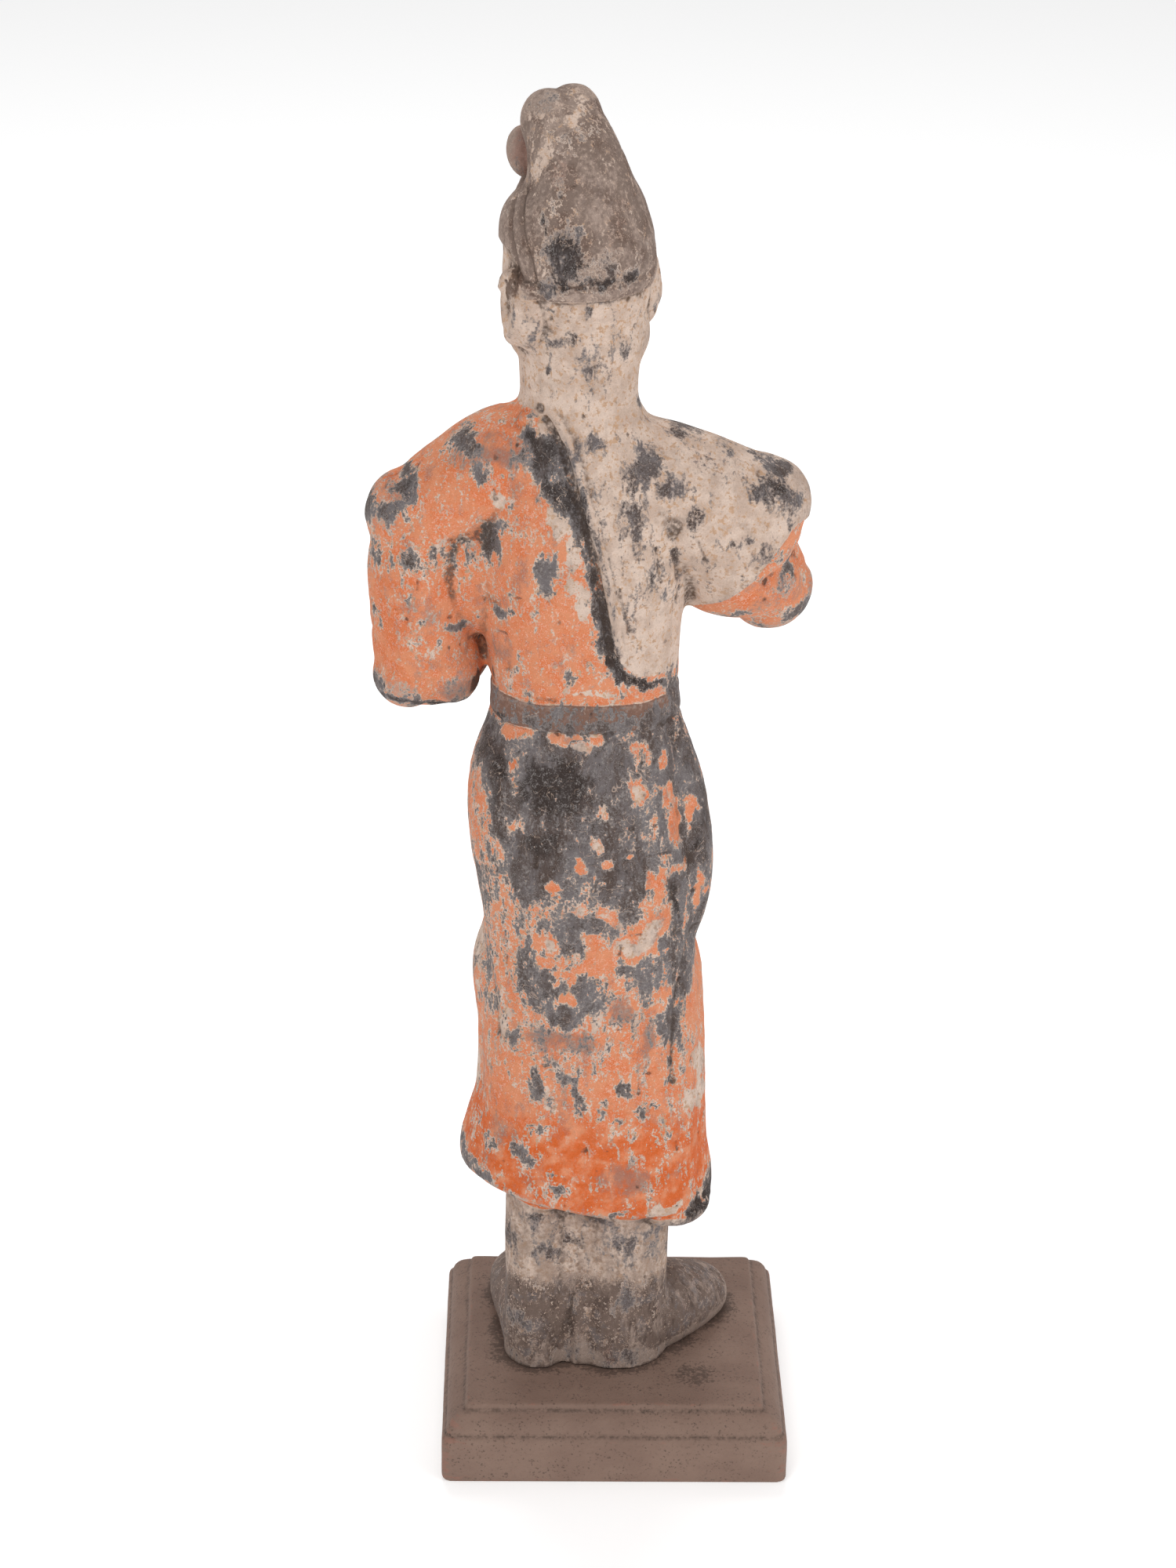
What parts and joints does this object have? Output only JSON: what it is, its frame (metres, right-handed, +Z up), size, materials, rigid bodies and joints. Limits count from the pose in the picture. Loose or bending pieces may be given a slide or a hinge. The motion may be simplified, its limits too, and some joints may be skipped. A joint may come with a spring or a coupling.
{
  "type": "tomb groom figure",
  "caption": "Standing painted pottery tomb groom with raised clenched hands, belted robe and tall soft cap, on a square moulded wooden plinth.",
  "frame": {"origin": "centre of the plinth's underside", "axes": "+Z up, -Y the way the groom's body faces, +X the groom's left"},
  "size_m": [0.142, 0.1318, 0.4553],
  "materials": {
    "pottery": "grey earthenware under flaking cream slip and orange pigment, matt",
    "wood": "taupe brown painted wood, matt"
  },
  "bodies": {
    "root": {"groom": "pottery", "plinth": "wood"}
  },
  "joints": []
}
